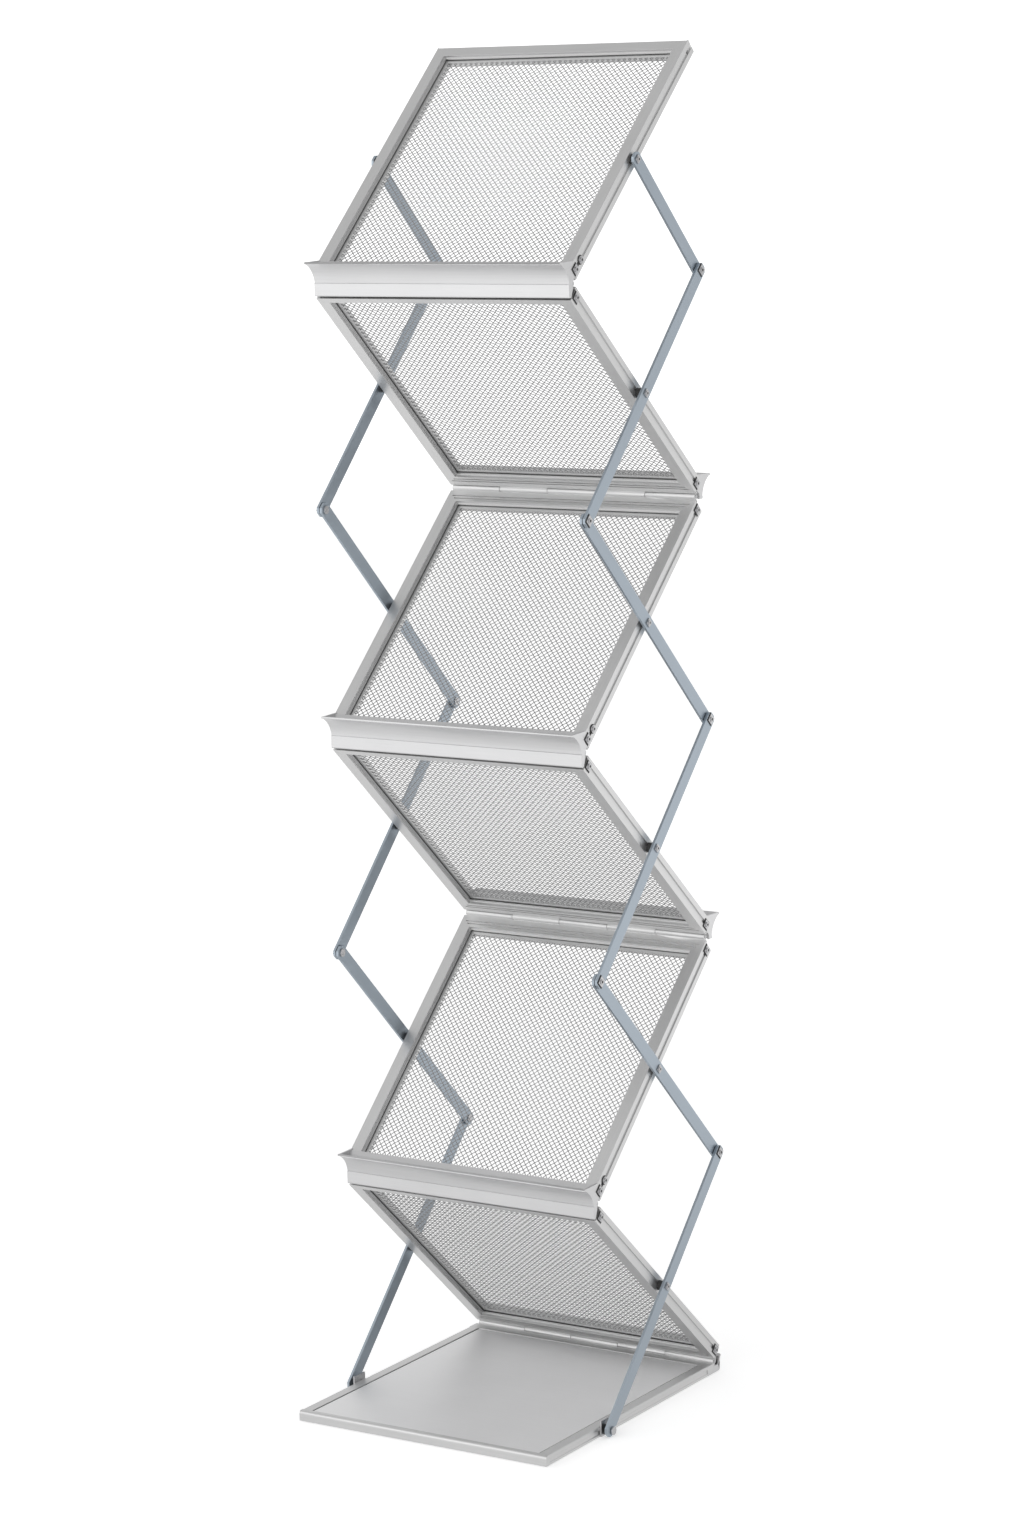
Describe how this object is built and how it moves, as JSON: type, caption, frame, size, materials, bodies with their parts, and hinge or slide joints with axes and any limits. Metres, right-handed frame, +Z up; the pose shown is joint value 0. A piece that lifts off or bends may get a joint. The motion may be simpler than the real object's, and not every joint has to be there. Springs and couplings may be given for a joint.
{
  "type": "newspaper rack",
  "caption": "Folding zigzag newspaper rack in silver aluminium: hinged mesh panels over a flat base, lipped trays front and back, held open by scissor struts on both sides",
  "frame": {"origin": "bottom centre of the bounding box, rack standing open", "axes": "+Z up, -Y the front (side of the wide front trays), X across along the hinge axes"},
  "size_m": [0.3016, 0.3382, 1.2936],
  "materials": {
    "sheet": "satin anodised sheet",
    "frame": "satin anodised extrusion",
    "strut": "anodised flat bar",
    "mesh": "woven wire",
    "fixing": "plated steel",
    "foot": "matt"
  },
  "bodies": {
    "base": {"base_plate": "sheet", "base_side_rails": "frame", "base_end_rails": "frame", "base_rear_strip": "sheet", "base_feet": "foot", "base_brackets": "fixing", "hinge_pin_1": "fixing"},
    "panel_1": {"panel_1_stiles": "frame", "panel_1_rails": "frame", "panel_1_mesh": "mesh", "panel_1_fixings": "fixing", "hinge_pin_2": "fixing"},
    "panel_2": {"panel_2_stiles": "frame", "panel_2_rails": "frame", "panel_2_mesh": "mesh", "panel_2_fixings": "fixing", "panel_2_tray": "sheet", "hinge_pin_3": "fixing"},
    "panel_3": {"panel_3_stiles": "frame", "panel_3_rails": "frame", "panel_3_mesh": "mesh", "panel_3_fixings": "fixing", "panel_3_tray": "sheet", "hinge_pin_4": "fixing"},
    "panel_4": {"panel_4_stiles": "frame", "panel_4_rails": "frame", "panel_4_mesh": "mesh", "panel_4_fixings": "fixing", "panel_4_tray": "sheet", "hinge_pin_5": "fixing"},
    "panel_5": {"panel_5_stiles": "frame", "panel_5_rails": "frame", "panel_5_mesh": "mesh", "panel_5_fixings": "fixing", "panel_5_tray": "sheet", "hinge_pin_6": "fixing"},
    "panel_6": {"panel_6_stiles": "frame", "panel_6_rails": "frame", "panel_6_mesh": "mesh", "panel_6_fixings": "fixing", "panel_6_tray": "sheet"},
    "strut_left_1": {"strut_left_1": "strut", "rivets_left_1": "fixing"},
    "strut_left_2": {"strut_left_2": "strut"},
    "strut_left_3": {"strut_left_3": "strut", "rivets_left_3": "fixing"},
    "strut_left_4": {"strut_left_4": "strut"},
    "strut_left_5": {"strut_left_5": "strut", "rivets_left_5": "fixing"},
    "strut_left_6": {"strut_left_6": "strut"},
    "strut_right_1": {"strut_right_1": "strut", "rivets_right_1": "fixing"},
    "strut_right_2": {"strut_right_2": "strut"},
    "strut_right_3": {"strut_right_3": "strut", "rivets_right_3": "fixing"},
    "strut_right_4": {"strut_right_4": "strut"},
    "strut_right_5": {"strut_right_5": "strut", "rivets_right_5": "fixing"},
    "strut_right_6": {"strut_right_6": "strut"}
  },
  "joints": [
    {"name": "fold", "type": "hinge", "parent": "base", "child": "panel_1", "pos_m": [0, 0.14475, 0.0115], "axis": [1, 0, 0], "range_deg": [0, 41]},
    {"name": "panel_2_hinge", "type": "hinge", "parent": "panel_1", "child": "panel_2", "pos_m": [0, -0.06637, 0.22524], "axis": [1, 0, 0], "range_deg": [-82.6, 0]},
    {"name": "panel_3_hinge", "type": "hinge", "parent": "panel_2", "child": "panel_3", "pos_m": [0, 0.14475, 0.43898], "axis": [1, 0, 0], "range_deg": [0, 82.6]},
    {"name": "panel_4_hinge", "type": "hinge", "parent": "panel_3", "child": "panel_4", "pos_m": [0, -0.06637, 0.65271], "axis": [1, 0, 0], "range_deg": [-82.6, 0]},
    {"name": "panel_5_hinge", "type": "hinge", "parent": "panel_4", "child": "panel_5", "pos_m": [0, 0.14475, 0.86645], "axis": [1, 0, 0], "range_deg": [0, 82.6]},
    {"name": "panel_6_hinge", "type": "hinge", "parent": "panel_5", "child": "panel_6", "pos_m": [0, -0.06637, 1.08019], "axis": [1, 0, 0], "range_deg": [-82.6, 0]},
    {"name": "strut_left_1_pivot", "type": "hinge", "parent": "panel_1", "child": "strut_left_1", "pos_m": [-0.14755, 0.03919, 0.11837], "axis": [1, 0, 0], "range_deg": [-82.6, 0]},
    {"name": "strut_left_2_pivot", "type": "hinge", "parent": "panel_2", "child": "strut_left_2", "pos_m": [-0.14425, 0.03919, 0.33211], "axis": [1, 0, 0], "range_deg": [0, 82.6]},
    {"name": "strut_left_3_pivot", "type": "hinge", "parent": "panel_3", "child": "strut_left_3", "pos_m": [-0.14755, 0.03919, 0.54585], "axis": [1, 0, 0], "range_deg": [-82.6, 0]},
    {"name": "strut_left_4_pivot", "type": "hinge", "parent": "panel_4", "child": "strut_left_4", "pos_m": [-0.14425, 0.03919, 0.75958], "axis": [1, 0, 0], "range_deg": [0, 82.6]},
    {"name": "strut_left_5_pivot", "type": "hinge", "parent": "panel_5", "child": "strut_left_5", "pos_m": [-0.14755, 0.03919, 0.97332], "axis": [1, 0, 0], "range_deg": [-82.6, 0]},
    {"name": "strut_left_6_pivot", "type": "hinge", "parent": "panel_6", "child": "strut_left_6", "pos_m": [-0.14425, 0.03919, 1.18706], "axis": [1, 0, 0], "range_deg": [0, 82.6]},
    {"name": "strut_right_1_pivot", "type": "hinge", "parent": "panel_1", "child": "strut_right_1", "pos_m": [0.14755, 0.03919, 0.11837], "axis": [1, 0, 0], "range_deg": [-82.6, 0]},
    {"name": "strut_right_2_pivot", "type": "hinge", "parent": "panel_2", "child": "strut_right_2", "pos_m": [0.14425, 0.03919, 0.33211], "axis": [1, 0, 0], "range_deg": [0, 82.6]},
    {"name": "strut_right_3_pivot", "type": "hinge", "parent": "panel_3", "child": "strut_right_3", "pos_m": [0.14755, 0.03919, 0.54585], "axis": [1, 0, 0], "range_deg": [-82.6, 0]},
    {"name": "strut_right_4_pivot", "type": "hinge", "parent": "panel_4", "child": "strut_right_4", "pos_m": [0.14425, 0.03919, 0.75958], "axis": [1, 0, 0], "range_deg": [0, 82.6]},
    {"name": "strut_right_5_pivot", "type": "hinge", "parent": "panel_5", "child": "strut_right_5", "pos_m": [0.14755, 0.03919, 0.97332], "axis": [1, 0, 0], "range_deg": [-82.6, 0]},
    {"name": "strut_right_6_pivot", "type": "hinge", "parent": "panel_6", "child": "strut_right_6", "pos_m": [0.14425, 0.03919, 1.18706], "axis": [1, 0, 0], "range_deg": [0, 82.6]}
  ],
  "couplings": [
    {"joint": "panel_2_hinge", "follows": "fold", "ratio": -2},
    {"joint": "panel_3_hinge", "follows": "fold", "ratio": 2},
    {"joint": "panel_4_hinge", "follows": "fold", "ratio": -2},
    {"joint": "panel_5_hinge", "follows": "fold", "ratio": 2},
    {"joint": "panel_6_hinge", "follows": "fold", "ratio": -2},
    {"joint": "strut_left_1_pivot", "follows": "fold", "ratio": -2},
    {"joint": "strut_left_2_pivot", "follows": "fold", "ratio": 2},
    {"joint": "strut_left_3_pivot", "follows": "fold", "ratio": -2},
    {"joint": "strut_left_4_pivot", "follows": "fold", "ratio": 2},
    {"joint": "strut_left_5_pivot", "follows": "fold", "ratio": -2},
    {"joint": "strut_left_6_pivot", "follows": "fold", "ratio": 2},
    {"joint": "strut_right_1_pivot", "follows": "fold", "ratio": -2},
    {"joint": "strut_right_2_pivot", "follows": "fold", "ratio": 2},
    {"joint": "strut_right_3_pivot", "follows": "fold", "ratio": -2},
    {"joint": "strut_right_4_pivot", "follows": "fold", "ratio": 2},
    {"joint": "strut_right_5_pivot", "follows": "fold", "ratio": -2},
    {"joint": "strut_right_6_pivot", "follows": "fold", "ratio": 2}
  ]
}
